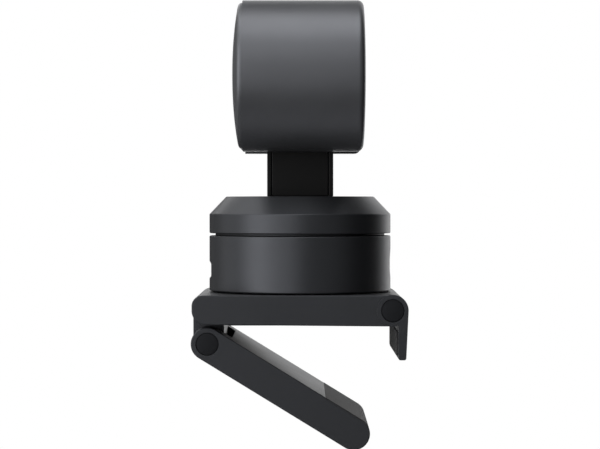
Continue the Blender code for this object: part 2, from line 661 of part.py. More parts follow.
def make_neck(pan):
    foot = CAP_TOP + GAP
    tilt = (0.0, HEAD_Z)
    rear = NECK_REAR_X + NECK_COVER_THICK + GAP
    front = NECK_FRONT_X - NECK_COVER_THICK - GAP
    top_radius = front
    post = arc(tilt, top_radius, 0.0, 180.0, 20)
    post[-1] = (rear, HEAD_Z)
    post += [(rear, foot), (-TENON_HALF_LENGTH, foot), (-TENON_HALF_LENGTH, TENON_BOTTOM),
             (TENON_HALF_LENGTH, TENON_BOTTOM), (TENON_HALF_LENGTH, foot), (front, foot)]
    width = NECK_HALF_WIDTH
    frame = make_piece("neck_frame", extruded(post, -width, width), "gloss_black", pan)
    hair = 0.001                  # keeps the cutter's top off the foot's own faces
    for side in (-1.0, 1.0):
        cut(frame, block(-width, width, side * TENON_HALF_WIDTH, side * (width + 2.0),
                         TENON_BOTTOM - 1.0, foot - hair))
    cut(frame, extruded(disc_outline(tilt, TILT_MOTOR_RADIUS + GAP), -width - 1.0, width + 1.0))
    cut(frame, block(-1.2, 1.2, -4.2, 4.2, TENON_BOTTOM - 1.0, HEAD_Z - 2.0))
    top = NECK_COVER_TOP
    rear_cover = block(NECK_REAR_X, NECK_REAR_X + NECK_COVER_THICK, -width, width, foot, top)
    make_piece("neck_rear_cover", bevelled(rear_cover, 0.3), "gloss_black", pan)
    front_cover = block(NECK_FRONT_X - NECK_COVER_THICK, NECK_FRONT_X, -width, width, foot, top)
    make_piece("neck_front_cover", bevelled(front_cover, 0.3), "gloss_black", pan)
    cable = block(-CABLE_HALF_THICK, CABLE_HALF_THICK, -CABLE_HALF_WIDTH, CABLE_HALF_WIDTH,
                  CABLE_BOTTOM, CABLE_TOP)
    make_piece("neck_flex_cable", cable, "flex_film", pan)
    motor = turned_along("Y", (0.0, 0.0, HEAD_Z), ring(1.9, TILT_MOTOR_RADIUS, -6.8, 6.8), MEDIUM_ROUND)
    make_piece("tilt_motor", motor, "aluminium", pan)


# --------------------------------------------------------------------- head

def slot_cutter():
    """The space that the neck sweeps inside the head, between its limits.

    Made in the tilt axis's frame. The neck leans back in the head when the
    camera looks up, and forward when it looks down.
    """
    reach = NECK_FRONT_X + SLOT_CLEARANCE
    far = 45.0
    outline = arc((0.0, 0.0), reach, TILT_DOWN_DEG, 180.0 - TILT_UP_DEG, 16)
    back = point_on((0.0, 0.0), reach, 180.0 - TILT_UP_DEG)
    front = point_on((0.0, 0.0), reach, TILT_DOWN_DEG)
    outline.append(point_on(back, far, -90.0 - TILT_UP_DEG))
    outline.append(point_on(front, far, -90.0 + TILT_DOWN_DEG))
    return extruded(outline, -SLOT_HALF_WIDTH, SLOT_HALF_WIDTH)


def in_head(sections, steps=12):
    """A racetrack solid in the tilt axis's frame."""
    return lofted_head(sections, HEAD_FLAT, 0.0, steps)


def make_head_shell(tilt):
    inner = HEAD_RADIUS - HEAD_WALL
    rounding = [90.0, 60.0, 30.0, 0.0]
    rear = [(HEAD_REAR_X + HEAD_EDGE * (1 - math.sin(math.radians(a))),
             HEAD_RADIUS - HEAD_EDGE * (1 - math.cos(math.radians(a)))) for a in rounding]
    front = [(HEAD_FRONT_X - HEAD_EDGE * (1 - math.sin(math.radians(a))), radius)
             for a, (_, radius) in zip(reversed(rounding), reversed(rear))]
    shell = make_piece("head_shell", in_head(rear + front, 16), "satin_plastic", tilt)
    cut(shell, in_head([(HEAD_REAR_X - 1.0, inner), (HEAD_FRONT_X + 1.0, inner)], 16))
    cut(shell, slot_cutter())


def make_rear_cover(tilt):
    rim = HEAD_RADIUS - 0.6
    edge_x = HEAD_REAR_X - GAP
    bulge = edge_x - 0.45 - REAR_COVER_X
    dome = [(edge_x - 0.45 - bulge * (1 - share * share), rim * share)
            for share in (0.12, 0.35, 0.6, 0.8, 0.92)]
    spigot = HEAD_RADIUS - HEAD_WALL - GAP
    sections = dome + [(edge_x - 0.35, rim - 0.15), (edge_x, rim), (edge_x, spigot), (SPIGOT_X, spigot),
                       (SPIGOT_X, spigot - SPIGOT_WALL), (edge_x + 0.1, spigot - SPIGOT_WALL)]
    cover = make_piece("rear_cover", in_head(sections), "satin_plastic", tilt)
    cut(cover, slot_cutter())


def make_front_glass(tilt):
    rim = HEAD_RADIUS - HEAD_WALL - GAP
    bulge = GLASS_FRONT_X - GLASS_EDGE_X
    dome = [(GLASS_EDGE_X + bulge * (1 - share * share), rim * share)
            for share in (0.97, 0.85, 0.6, 0.35, 0.12)]
    sections = [(GLASS_BACK_X, rim), (GLASS_EDGE_X - 0.3, rim)] + dome
    glass = make_piece("front_glass", in_head(sections), "smoked_glass", tilt)
    for y, radius in ((MAIN_LENS_Y, MAIN_BARREL_RADIUS), (SECOND_LENS_Y, SECOND_BARREL_RADIUS)):
        cut(glass, turned_along("X", (0.0, y, 0.0), rod(radius + GAP, 12.0, 18.0), MEDIUM_ROUND))
    cut(glass, slot_cutter())


def make_front_frame(tilt):
    rim = HEAD_RADIUS - HEAD_WALL - GAP
    sections = [(FRAME_BACK_X, rim), (FRAME_FRONT_X, rim)]
    frame = make_piece("front_frame", in_head(sections), "clip_plastic", tilt)
    for y, radius in ((MAIN_LENS_Y, MAIN_BARREL_RADIUS), (SECOND_LENS_Y, SECOND_BARREL_RADIUS)):
        cut(frame, turned_along("X", (0.0, y, 0.0), rod(radius + GAP, 11.0, 15.0), MEDIUM_ROUND))
    cut(frame, slot_cutter())


def make_lens(word, y, radius, tilt):
    """A black barrel, its front lens and the sensor board behind it."""
    back = BARREL_BACK_X
    front = BARREL_FRONT_X
    step = LENS_FRONT_X + 0.2
    seat = LENS_FRONT_X - 0.3
    bore = radius * BORE_SHARE
    barrel = [(bore, back), (radius, back), (radius, front - 0.2), (radius - 0.2, front),
              (radius - 0.9, front), (bore + 0.9, step), (bore + 0.2, step), (bore + 0.2, seat),
              (bore, seat)]
    tube = turned_along("X", (0.0, y, 0.0), barrel, MEDIUM_ROUND)
    make_piece(f"{word}_lens_barrel", tube, "gloss_black", tilt)
    rim = bore - GAP
    sag = 1.1
    lens = [(0.0, LENS_BACK_X), (rim, LENS_BACK_X + 0.4)]
    lens += [(rim * share, LENS_FRONT_X - sag * share * share) for share in (1.0, 0.75, 0.4, 0.0)]
    make_piece(f"{word}_lens", turned_along("X", (0.0, y, 0.0), lens, MEDIUM_ROUND), "lens_glass", tilt)
    board = block(2.9, 4.1, y - 6.6, y + 6.6, -7.5, 7.5)
    make_piece(f"{word}_sensor_board", board, "circuit_board", tilt)
    side = bore * 0.6
    sensor = block(4.45, 5.6, y - side, y + side, -side, side)
    make_piece(f"{word}_image_sensor", sensor, "indicator", tilt)


def make_tilt_drive(tilt):
    bar = rod(TILT_SHAFT_RADIUS, -TILT_SHAFT_HALF_LENGTH, TILT_SHAFT_HALF_LENGTH)
    shaft = turned_along("Y", (0.0, 0.0, 0.0), bar, SMALL_ROUND)
    make_piece("tilt_shaft", shaft, "steel", tilt)
    reach = HEAD_RADIUS - HEAD_WALL - GAP
    for side, word in ((-1.0, "right"), (1.0, "left")):
        outline = arc((-2.0, 0.0), 4.2, 180.0, 360.0, 12) + [(2.2, reach), (-6.2, reach)]
        low, high = sorted((side * HUB_INNER_Y, side * HUB_OUTER_Y))
        hub = make_piece(f"tilt_hub_{word}", extruded(outline, low, high), "aluminium", tilt)
        cut(hub, extruded(disc_outline((0.0, 0.0), TILT_SHAFT_RADIUS + GAP, SMALL_ROUND),
                          side * (HUB_INNER_Y - 1.0), side * (HUB_OUTER_Y + 1.0)))


def make_head_boards(tilt):
    """Processor board and its heat spreader, upright above the neck slot."""
    make_piece("processor_board", block(-12.6, -11.4, -20.0, 20.0, 3.0, 14.0), "circuit_board", tilt)
    make_piece("heat_spreader", block(-11.0, -9.2, -14.0, 14.0, 4.0, 13.0), "aluminium", tilt)
    for side, word in ((-1.0, "right"), (1.0, "left")):
        y = side * 4.5
        microphone = block(9.6, 11.9, y - 1.8, y + 1.8, 10.2, 13.0)
        make_piece(f"microphone_{word}", microphone, "steel", tilt)


# -------------------------------------------------------------------- build

def build_clip():
    make_clip_plate()
    make_rest_pad()
    make_thread_insert()
    make_plate_screws()
    leg_hinge = axis_empty("leg_axis", (LEG_HINGE_X, 0.0, LEG_HINGE_Z), turn_y_deg=LEG_OPEN_DEG)
    make_leg(leg_hinge)
    make_leg_pad(leg_hinge)
    make_leg_washers(leg_hinge)
    make_pin_and_caps("leg", (0.0, 0.0), LEG_HALF_WIDTH, leg_hinge)
    lip_hinge = axis_empty("lip_axis", (LIP_PIN_X, 0.0, LIP_PIN_Z))
    make_lip(lip_hinge)
    make_lip_pad(lip_hinge)
    make_pin_and_caps("lip", (0.0, 0.0), PLATE_HALF_WIDTH, lip_hinge)


def build_camera():
    make_base_shell()
    make_base_inside()
    make_usb_socket()
    make_status_window()
    pan = axis_empty("pan_axis", (0.0, 0.0, 0.0))
    make_turntable(pan)
    make_turntable_screws(pan)
    make_pan_shaft(pan)
    make_pan_cap(pan)
    make_neck(pan)
    tilt = axis_empty("tilt_axis", (0.0, 0.0, HEAD_Z), pan)
    make_head_shell(tilt)
    make_rear_cover(tilt)
    make_front_glass(tilt)
    make_front_frame(tilt)
    make_lens("main", MAIN_LENS_Y, MAIN_BARREL_RADIUS, tilt)
    make_lens("second", SECOND_LENS_Y, SECOND_BARREL_RADIUS, tilt)
    make_tilt_drive(tilt)
    make_head_boards(tilt)


clear_scene()
MATERIALS = {name: make_material(name, *values) for name, values in FINISHES.items()}
build_clip()
build_camera()
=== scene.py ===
"""Looks of the motorised webcam on its folding monitor clip.

Lengths are millimetres in the functions below, and every mesh is made in
metres, in the frame of the CAD model: the lens looks along +X, +Z is up, and
the photograph's camera looks along +Y.
"""

import json
import math

import bmesh
import bpy
from mathutils import Matrix, Vector


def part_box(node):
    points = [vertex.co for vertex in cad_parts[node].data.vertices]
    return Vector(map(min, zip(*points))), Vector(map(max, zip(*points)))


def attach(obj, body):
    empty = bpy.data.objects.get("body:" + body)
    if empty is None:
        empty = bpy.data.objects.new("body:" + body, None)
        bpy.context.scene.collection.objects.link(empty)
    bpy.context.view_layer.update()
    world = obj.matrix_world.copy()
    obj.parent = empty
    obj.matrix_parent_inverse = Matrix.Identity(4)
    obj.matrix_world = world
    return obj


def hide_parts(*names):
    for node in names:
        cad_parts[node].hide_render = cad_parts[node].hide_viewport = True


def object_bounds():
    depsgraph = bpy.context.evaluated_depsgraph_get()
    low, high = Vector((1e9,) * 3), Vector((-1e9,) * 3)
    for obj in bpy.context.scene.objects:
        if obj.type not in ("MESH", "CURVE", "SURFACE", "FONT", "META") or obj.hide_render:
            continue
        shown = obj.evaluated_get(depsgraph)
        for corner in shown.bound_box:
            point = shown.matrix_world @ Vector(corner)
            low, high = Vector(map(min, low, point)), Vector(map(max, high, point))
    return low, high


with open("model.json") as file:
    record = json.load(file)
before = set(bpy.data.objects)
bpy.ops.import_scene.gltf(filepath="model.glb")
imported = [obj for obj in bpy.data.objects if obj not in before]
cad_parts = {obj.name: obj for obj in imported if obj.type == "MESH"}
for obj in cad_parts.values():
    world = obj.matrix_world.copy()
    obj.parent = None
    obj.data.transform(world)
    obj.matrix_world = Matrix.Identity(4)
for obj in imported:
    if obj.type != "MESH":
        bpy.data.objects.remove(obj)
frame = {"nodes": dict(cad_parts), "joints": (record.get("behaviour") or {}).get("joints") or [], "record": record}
cad_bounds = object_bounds()

MM = 0.001
SHARP_DEG = 38.0            # edges sharper than this stay crisp

JOINTS = {joint["name"]: joint for joint in frame["joints"]}
MOUNTS = {mount["name"]: mount for mount in frame["record"]["mounts"]}


# ------------------------------------------------------- sizes from the frame

def span(node):
    """The node's box at rest as ((x0, x1), (y0, y1), (z0, z1)), in millimetres."""
    low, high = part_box(node)
    return tuple((low[i] / MM, high[i] / MM) for i in range(3))


def half_and_middle(low, high):
    """Half the length of a stretch, and its middle."""
    return (high - low) / 2.0, (high + low) / 2.0


def joint_centre(name):
    """The point that a joint turns about, in millimetres."""
    return Vector(JOINTS[name]["pos_m"]) / MM


GAP = 0.3                   # between two pieces in the CAD model
SEAM = 0.06                 # a closed joint between two pieces, as the eye sees it
SHELL_WALL = 1.6

(HEAD_REAR, HEAD_FRONT), (_, HEAD_SIDE), (HEAD_LOW, HEAD_HIGH) = span("head_shell")
HEAD_RADIUS = (HEAD_HIGH - HEAD_LOW) / 2.0
HEAD_FLAT = HEAD_SIDE - HEAD_RADIUS
COVER_MEETS = -13.9         # where the rear cover's brow meets the drum
SLOT_HALF_WIDTH = 7.6       # of the slot that the neck swings in
LENSES = ("main", "second")
TILT = joint_centre("tilt")
TILT_UP_DEG, TILT_DOWN_DEG = 45.0, 25.0

_, (_, BASE_RADIUS), (BASE_LOW, BASE_HIGH) = span("base_shell")
_, _, (PAN_CAP_LOW, PAN_CAP_HIGH) = span("pan_cap")
TENON_HALF_LENGTH, TENON_HALF_WIDTH = 6.0, 5.0      # of the neck's foot in the cap

(_, PLATE_REACH), (_, PLATE_SIDE), (_, PLATE_HIGH) = span("clip_plate")
LEG_HINGE = joint_centre("leg_hinge")
LIP_PIN = joint_centre("lip_hinge")
LEG_FACE = MOUNTS["monitor_back_leg"]["axis"]
LEG_OPEN = math.atan2(LEG_FACE[0], LEG_FACE[2])
LEG_LENGTH = 41.25          # from the hinge to the centre of the round tip
LEG_RADIUS = 3.95
KNUCKLE_RADIUS = 3.75
HINGE_HOLE_RADIUS = 1.5
LIP_EYE_RADIUS = 3.8
LIP_CHEEK_START = 17.0      # the lip's cheeks reach from here to the plate's side


# ------------------------------------------------------------------ outlines

def point_on(centre, radius, angle_deg):
    """The point at an angle on a circle."""
    angle = math.radians(angle_deg)
    return (centre[0] + radius * math.cos(angle), centre[1] + radius * math.sin(angle))


def arc(centre, radius, start_deg, end_deg, steps):
    """Points along part of a circle, with both its ends."""
    turn = end_deg - start_deg
    return [point_on(centre, radius, start_deg + turn * i / steps) for i in range(steps + 1)]


def circle(centre, radius, steps=96):
    """Points round a whole circle."""
    return arc(centre, radius, 0.0, 360.0, steps)[:-1]


def disc_profile(radius, low, high):
    """The (radius, height) loop of a plain cylinder."""
    return [(0.0, low), (radius, low), (radius, high), (0.0, high)]


def rounded(points, radii, steps=8):
    """A closed outline whose corners are rounded by the radius given for each."""
    outline = []
    for index, (x, z) in enumerate(points):
        radius = radii[index] if isinstance(radii, (list, tuple)) else radii
        corner = Vector((x, z))
        before = (Vector(points[index - 1]) - corner).normalized()
        after = (Vector(points[(index + 1) % len(points)]) - corner).normalized()
        half = before.angle(after) / 2.0
        if radius <= 0.0 or abs(half - math.pi / 2.0) < 1e-4:
            outline.append((x, z))
            continue
        reach = radius / math.tan(half)
        centre = corner + (before + after).normalized() * (radius / math.sin(half))
        first = corner + before * reach - centre
        last = corner + after * reach - centre
        turn = first.angle_signed(last)
        for i in range(steps + 1):
            spin = -turn * i / steps
            c, s = math.cos(spin), math.sin(spin)
            outline.append((centre.x + first.x * c - first.y * s,
                            centre.y + first.x * s + first.y * c))
    return outline


# -------------------------------------------------------------- mesh building

def extruded(outline, start, end, edge=0.0, segments=4):
    """An XZ outline carried along Y, with both rims rounded by edge."""
    bm = bmesh.new()
    near = [bm.verts.new((x * MM, start * MM, z * MM)) for x, z in outline]
    far = [bm.verts.new((x * MM, end * MM, z * MM)) for x, z in outline]
    caps = [bm.faces.new(near), bm.faces.new(far)]
    count = len(outline)
    for i in range(count):
        j = (i + 1) % count
        bm.faces.new((near[i], near[j], far[j], far[i]))
    bmesh.ops.recalc_face_normals(bm, faces=bm.faces)
    if edge > 0.0:
        rims = [e for cap in caps for e in cap.edges]
        bmesh.ops.bevel(bm, geom=rims, offset=edge * MM, segments=segments,
                        affect="EDGES", profile=0.5)
    return bm


def block(x, y, z, edge=0.0, segments=3):
    """A box from three (low, high) pairs, with every edge rounded."""
    corners = [(x[0], z[0]), (x[1], z[0]), (x[1], z[1]), (x[0], z[1])]
    bm = extruded(corners, y[0], y[1])
    if edge > 0.0:
        bmesh.ops.bevel(bm, geom=list(bm.edges), offset=edge * MM, segments=segments,
                        affect="EDGES", profile=0.5)
    return bm


def turned(profile, sides=160):
    """A solid turned about Z from a closed loop of (radius, height) points."""
    bm = bmesh.new()
    rings = []
    for radius, height in profile:
        if radius <= 0.0:
            rings.append([bm.verts.new((0.0, 0.0, height * MM))])
        else:
            rings.append([bm.verts.new((x * MM, y * MM, height * MM))
                          for x, y in circle((0.0, 0.0), radius, sides)])
    for index, lower in enumerate(rings):
        upper = rings[(index + 1) % len(rings)]
        for i in range(sides):
            j = (i + 1) % sides
            corners = [lower[i % len(lower)], lower[j % len(lower)],
                       upper[j % len(upper)], upper[i % len(upper)]]
            unique = list(dict.fromkeys(corners))
            if len(unique) > 2:
                bm.faces.new(unique)
    bmesh.ops.recalc_face_normals(bm, faces=bm.faces)
    return bm


AXIS_TURN = {"X": Matrix.Rotation(math.radians(90.0), 4, "Y"),
             "Y": Matrix.Rotation(math.radians(-90.0), 4, "X"),
             "Z": Matrix.Identity(4)}


def turned_at(axis, centre, profile, sides=96):
    """A turned solid with its axis along X, Y or Z and its origin at a centre."""
    bm = turned(profile, sides)
    bm.transform(Matrix.Translation(Vector(centre) * MM) @ AXIS_TURN[axis])
    return bm


def racetrack(radius, flat, steps=40):
    """Points (y, z) round a racetrack, from the bottom right, anticlockwise."""
    return arc((flat, 0.0), radius, -90.0, 90.0, steps) + arc((-flat, 0.0), radius, 90.0, 270.0, steps)


def skinned(bm, rings):
    """Closes a run of equal rings of vertices into a tube, each joined to the next."""
    for lower, upper in zip(rings, rings[1:]):
        for i in range(len(lower)):
            j = (i + 1) % len(lower)
            bm.faces.new((lower[i], lower[j], upper[j], upper[i]))


def lofted(sections, flat, centre, steps=40):
    """A solid through racetrack sections (x, radius) about a centre (y, z)."""
    bm = bmesh.new()
    rings = [[bm.verts.new((x * MM, (centre[0] + y) * MM, (centre[1] + z) * MM))
              for y, z in racetrack(radius, flat, steps)] for x, radius in sections]
    skinned(bm, rings)
    bm.faces.new(rings[0])
    bm.faces.new(rings[-1])
    bmesh.ops.recalc_face_normals(bm, faces=bm.faces)
    return bm


# ------------------------------------------------------------------ the pieces

def link(name, bm):
    """Makes an object of a mesh and puts it in the scene."""
    mesh = bpy.data.meshes.new(name)
    bm.to_mesh(mesh)
    bm.free()
    thing = bpy.data.objects.new(name, mesh)
    bpy.context.scene.collection.objects.link(thing)
    return thing


def carve(thing, cutters, operation="DIFFERENCE"):
    """Cuts, joins or intersects the piece with each cutter, and keeps the result as its mesh."""
    tools = [link("tool", bm) for bm in cutters]
    for tool in tools:
        modifier = thing.modifiers.new("carve", "BOOLEAN")
        modifier.operation = operation
        modifier.solver = "EXACT"
        modifier.object = tool
    graph = bpy.context.evaluated_depsgraph_get()
    result = bpy.data.meshes.new_from_object(thing.evaluated_get(graph))
    thing.modifiers.clear()
    old = thing.data
    thing.data = result
    bpy.data.meshes.remove(old)
    for tool in tools:
        bpy.data.objects.remove(tool, do_unlink=True)


def finish_piece(thing, material, body, stands_for=(), sharp=SHARP_DEG):
    """Shades a piece, ties it to its body and hides the CAD nodes it stands for."""
    mesh = thing.data
    mesh.materials.clear()
    mesh.materials.append(material)
    mesh.shade_smooth()
    mesh.set_sharp_from_angle(angle=math.radians(sharp))
    weighted = thing.modifiers.new("flat_faces_stay_flat", "WEIGHTED_NORMAL")
    weighted.keep_sharp = True
    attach(thing, body)
    if stands_for:
        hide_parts(*stands_for)
    return thing


# -------------------------------------------------------------------- materials

NO_TINT = (1.0, 1.0, 1.0)
COOL_TINT = (0.885, 0.915, 1.0)


class Nodes:
    """A Principled material and short ways to add nodes to it."""

    def __init__(self, name, colour, roughness, metallic=0.0, specular=0.5, tint=NO_TINT):
        self.material = bpy.data.materials.new(name)
        self.material.use_nodes = True
        self.tree = self.material.node_tree
        self.shader = self.tree.nodes["Principled BSDF"]
        self.set("Base Color", (*colour, 1.0))
        self.set("Roughness", roughness)
        self.set("Metallic", metallic)
        self.set("Specular IOR Level", specular)
        self.set("Specular Tint", (*tint, 1.0))
        self.material.diffuse_color = (*colour, 1.0)

    def set(self, socket, value):
        """Sets an input of the Principled shader."""
        self.shader.inputs[socket].default_value = value

    def add(self, kind, **values):
        """Adds a node, with its properties and inputs set by name."""
        node = self.tree.nodes.new(kind)
        for key, value in values.items():
            if hasattr(node, key):
                setattr(node, key, value)
            else:
                node.inputs[key.replace("_", " ")].default_value = value
        return node

    def join(self, source, target):
        """Links an output to an input."""
        self.tree.links.new(source, target)

    def position(self):
        """The point on the piece, in metres."""
        return self.add("ShaderNodeTexCoord").outputs["Object"]

    def noise(self, scale, detail=2.0, rough=0.5):
        """Noise of 0 to 1, with about scale lumps to the metre."""
        node = self.add("ShaderNodeTexNoise", Scale=scale, Detail=detail, Roughness=rough)
        self.join(self.position(), node.inputs["Vector"])
        return node.outputs["Fac"]

    def spread(self, value, low, high):
        """Maps a 0 to 1 value to low to high."""
        node = self.add("ShaderNodeMapRange")
        node.inputs["To Min"].default_value = low
        node.inputs["To Max"].default_value = high
        self.join(value, node.inputs["Value"])
        return node.outputs["Result"]

    def mottle(self, value, colour, darker, lighter):
        """Varies a colour between two multiples of itself."""
        self.tint(value, tuple(c * darker for c in colour), tuple(c * lighter for c in colour))

    def tint(self, value, dark, light):
        """Blends the base colour from dark to light."""
        ramp = self.add("ShaderNodeValToRGB")
        ramp.color_ramp.elements[0].color = (*dark, 1.0)
        ramp.color_ramp.elements[0].position = 0.3
        ramp.color_ramp.elements[1].color = (*light, 1.0)
        ramp.color_ramp.elements[1].position = 0.7
        self.join(value, ramp.inputs["Fac"])
        self.join(ramp.outputs["Color"], self.shader.inputs["Base Color"])

    def rough(self, value, low, high):
        """Varies the roughness from low to high."""
        self.join(self.spread(value, low, high), self.shader.inputs["Roughness"])

    def bump(self, value, strength, depth_mm):
        """Raises and lowers the surface."""
        node = self.add("ShaderNodeBump", Strength=strength, Distance=depth_mm * MM)
        self.join(value, node.inputs["Height"])
        self.join(node.outputs["Normal"], self.shader.inputs["Normal"])


def moulded_plastic(name, colour, roughness, grain_mm, depth_mm, specular=0.5):
    """Spark-eroded moulded plastic: a fine even grain, with slow changes of gloss."""
    nodes = Nodes(name, colour, roughness, specular=specular, tint=COOL_TINT)
    nodes.mottle(nodes.noise(60.0, 3.0), colour, 1.0 / 1.12, 1.12)
    nodes.rough(nodes.noise(180.0, 4.0, 0.6), roughness - 0.04, roughness + 0.04)
    nodes.bump(nodes.noise(1.0 / (grain_mm * MM), 2.0, 0.6), 0.5, depth_mm)
    return nodes.material


def polished(name, colour, roughness, specular=0.5, coat=0.0):
    """Polished plastic or glass with the faint unevenness of a moulded surface."""
    nodes = Nodes(name, colour, roughness, specular=specular)
    nodes.set("Coat Weight", coat)
    nodes.set("Coat Roughness", 0.03)
    nodes.rough(nodes.noise(240.0, 3.0), roughness * 0.85, roughness * 1.2)
    nodes.bump(nodes.noise(90.0, 1.0), 0.12, 0.02)
    return nodes.material


def soft_rubber(name, colour, roughness):
    """Matte rubber with a fine speckle."""
    nodes = Nodes(name, colour, roughness, specular=0.35)
    nodes.mottle(nodes.noise(900.0, 4.0), colour, 0.85, 1.2)
    nodes.set("Sheen Weight", 0.08)
    nodes.set("Sheen Roughness", 0.5)
    nodes.bump(nodes.noise(3500.0, 3.0, 0.7), 0.6, 0.03)
    return nodes.material


def machined_metal(name, colour, roughness, grain=900.0):
    """Machined metal: fine tool marks in its gloss."""
    nodes = Nodes(name, colour, roughness, metallic=1.0)
    marks = nodes.noise(grain, 5.0, 0.7)
    nodes.rough(marks, roughness * 0.8, roughness * 1.3)
    nodes.bump(marks, 0.15, 0.01)
    return nodes.material


def lens_coating(name):
    """Clear glass with a violet and green anti-reflection coating."""
    nodes = Nodes(name, (0.55, 0.5, 0.75), 0.02, specular=0.6)
    nodes.set("Transmission Weight", 0.85)
    nodes.set("IOR", 1.52)
    nodes.set("Coat Weight", 0.6)
    nodes.set("Coat Tint", (0.55, 0.35, 0.9, 1.0))
    nodes.rough(nodes.noise(300.0, 2.0), 0.015, 0.03)
    return nodes.material


def circuit_board(name):
    """Green solder mask over a pattern of cells."""
    nodes = Nodes(name, (0.01, 0.09, 0.045), 0.5)
    cells = nodes.add("ShaderNodeTexVoronoi", Scale=420.0)
    nodes.join(nodes.position(), cells.inputs["Vector"])
    nodes.tint(cells.outputs["Distance"], (0.006, 0.06, 0.03), (0.015, 0.11, 0.055))
    nodes.bump(cells.outputs["Distance"], 0.3, 0.05)
    return nodes.material


# The head's drum and rear cover get a lighter, glossier copy of the satin shell plastic: its extra lightness is
# painted light, the light that the head catches from above.
HEAD_SATIN_PAINTED_LIGHT = moulded_plastic("head_shell", (0.045, 0.046, 0.049), 0.42, 0.11, 0.02, 1.0)
SATIN = moulded_plastic("satin_shell", (0.0125, 0.0132, 0.0146), 0.40, 0.11, 0.02, 0.6)
CLIP = moulded_plastic("clip_matte", (0.0103, 0.0107, 0.0117), 0.45, 0.14, 0.03, 0.5)
NECK_BLACK = polished("neck_black", (0.0022, 0.0022, 0.0024), 0.34, specular=0.15)
CAP_BLACK = moulded_plastic("pin_cap_black", (0.0045, 0.0047, 0.0053), 0.5, 0.12, 0.02, 0.22)
RING_BLACK = moulded_plastic("gap_ring_black", (0.006, 0.006, 0.006), 0.5, 0.12, 0.02)
RUBBER = soft_rubber("clip_rubber", (0.02, 0.02, 0.021), 0.78)
GLASS = polished("front_panel_glass", (0.0025, 0.0025, 0.003), 0.04, coat=0.5)
LENS = lens_coating("lens_coating")
BARREL = moulded_plastic("barrel_black", (0.006, 0.006, 0.006), 0.35, 0.2, 0.02)
WINDOW = polished("status_window_black", (0.006, 0.007, 0.008), 0.09)
STEEL = machined_metal("steel", (0.58, 0.58, 0.59), 0.28)
BRASS = machined_metal("brass", (0.72, 0.53, 0.26), 0.3)
GOLD = machined_metal("gold_contacts", (0.9, 0.66, 0.3), 0.25)
ALUMINIUM = machined_metal("aluminium", (0.72, 0.73, 0.74), 0.36, 600.0)
BOARD = circuit_board("circuit_board")
FLEX = moulded_plastic("flex_film", (0.42, 0.19, 0.03), 0.4, 0.3, 0.02)
TONGUE = moulded_plastic("usb_tongue", (0.015, 0.015, 0.016), 0.4, 0.1, 0.01)
SENSOR = polished("image_sensor", (0.02, 0.03, 0.045), 0.12, specular=0.8)

CAD_FINISH = {
    "steel": STEEL,
    "brass": BRASS,
    "aluminium": ALUMINIUM,
    "circuit_board": BOARD,
    "flex_film": FLEX,
    "indicator": SENSOR,
    "clip_plastic": CLIP,
    "satin_plastic": SATIN,
    "gloss_black": BARREL,
    "rubber": RUBBER,
    "smoked_glass": GLASS,
    "lens_glass": LENS,
}


def finish_cad_nodes():
    """Gives every CAD node that stays its procedural material."""
    slots = {entry["node"]: entry["material_slot"] for entry in frame["record"]["subparts"]}
    for name, thing in frame["nodes"].items():
        thing.data.materials.clear()
        thing.data.materials.append(CAD_FINISH[slots[name]])


# ------------------------------------------------------------------------ head

def neck_sweep(extra=0.4, half_width=SLOT_HALF_WIDTH):
    """The wedge that the neck sweeps inside the head, as a cutter."""
    (_, neck_front), _, _ = span("neck_front_cover")
    reach = neck_front + extra
    centre = (TILT.x, TILT.z)
    far = 45.0                  # well past the head's skin
    rearmost_deg = 180.0 - TILT_UP_DEG
    outline = arc(centre, reach, TILT_DOWN_DEG, rearmost_deg, 48)
    outline.append(point_on(point_on(centre, reach, rearmost_deg), far, -90.0 - TILT_UP_DEG))
    outline.append(point_on(point_on(centre, reach, TILT_DOWN_DEG), far, -90.0 + TILT_DOWN_DEG))
    return extruded(outline, -half_width, half_width)


def slotted_ring(radius, lip):
    """Points (y, z) round the drum from one side of the slot to the other."""
    edge = SLOT_HALF_WIDTH
    start = [(edge, -radius + lip), (edge + lip * 0.3, -radius + lip * 0.3), (edge + lip, -radius)]
    half = start + arc((HEAD_FLAT, 0.0), radius, -90.0, 90.0, 48)
    return half + [(-y, z) for y, z in reversed(half)]


def make_head_drum():
    """The drum's shell: a racetrack tube with a slot for the neck all along its underside."""
    front_edge = 1.5
    slot_edge = 0.35
    rear = [(COVER_MEETS, HEAD_RADIUS - 0.02), (COVER_MEETS + 0.05, HEAD_RADIUS)]
    front = arc((HEAD_FRONT - front_edge, HEAD_RADIUS - front_edge), front_edge, 90.0, 0.0, 9)
    bm = bmesh.new()
    rings = []
    for x, radius in rear + front:
        outer = slotted_ring(radius, slot_edge)
        inside = slotted_ring(HEAD_RADIUS - SHELL_WALL, 0.02)
        rings.append([[bm.verts.new((x * MM, y * MM, (TILT.z + z) * MM)) for y, z in loop]
                      for loop in (outer, inside)])
    count = len(rings[0][0])
    for (outer_a, inner_a), (outer_b, inner_b) in zip(rings, rings[1:]):
        for i in range(count - 1):
            bm.faces.new((outer_a[i], outer_a[i + 1], outer_b[i + 1], outer_b[i]))
            bm.faces.new((inner_a[i], inner_b[i], inner_b[i + 1], inner_a[i + 1]))
        for i in (0, count - 1):
            bm.faces.new((outer_a[i], outer_b[i], inner_b[i], inner_a[i]))
    for outer, inside in (rings[0], rings[-1]):
        for i in range(count - 1):
            bm.faces.new((outer[i], outer[i + 1], inside[i + 1], inside[i]))
    bmesh.ops.recalc_face_normals(bm, faces=bm.faces)
    drum = link("head_drum", bm)
    finish_piece(drum, HEAD_SATIN_PAINTED_LIGHT, "head", ("head_shell",))


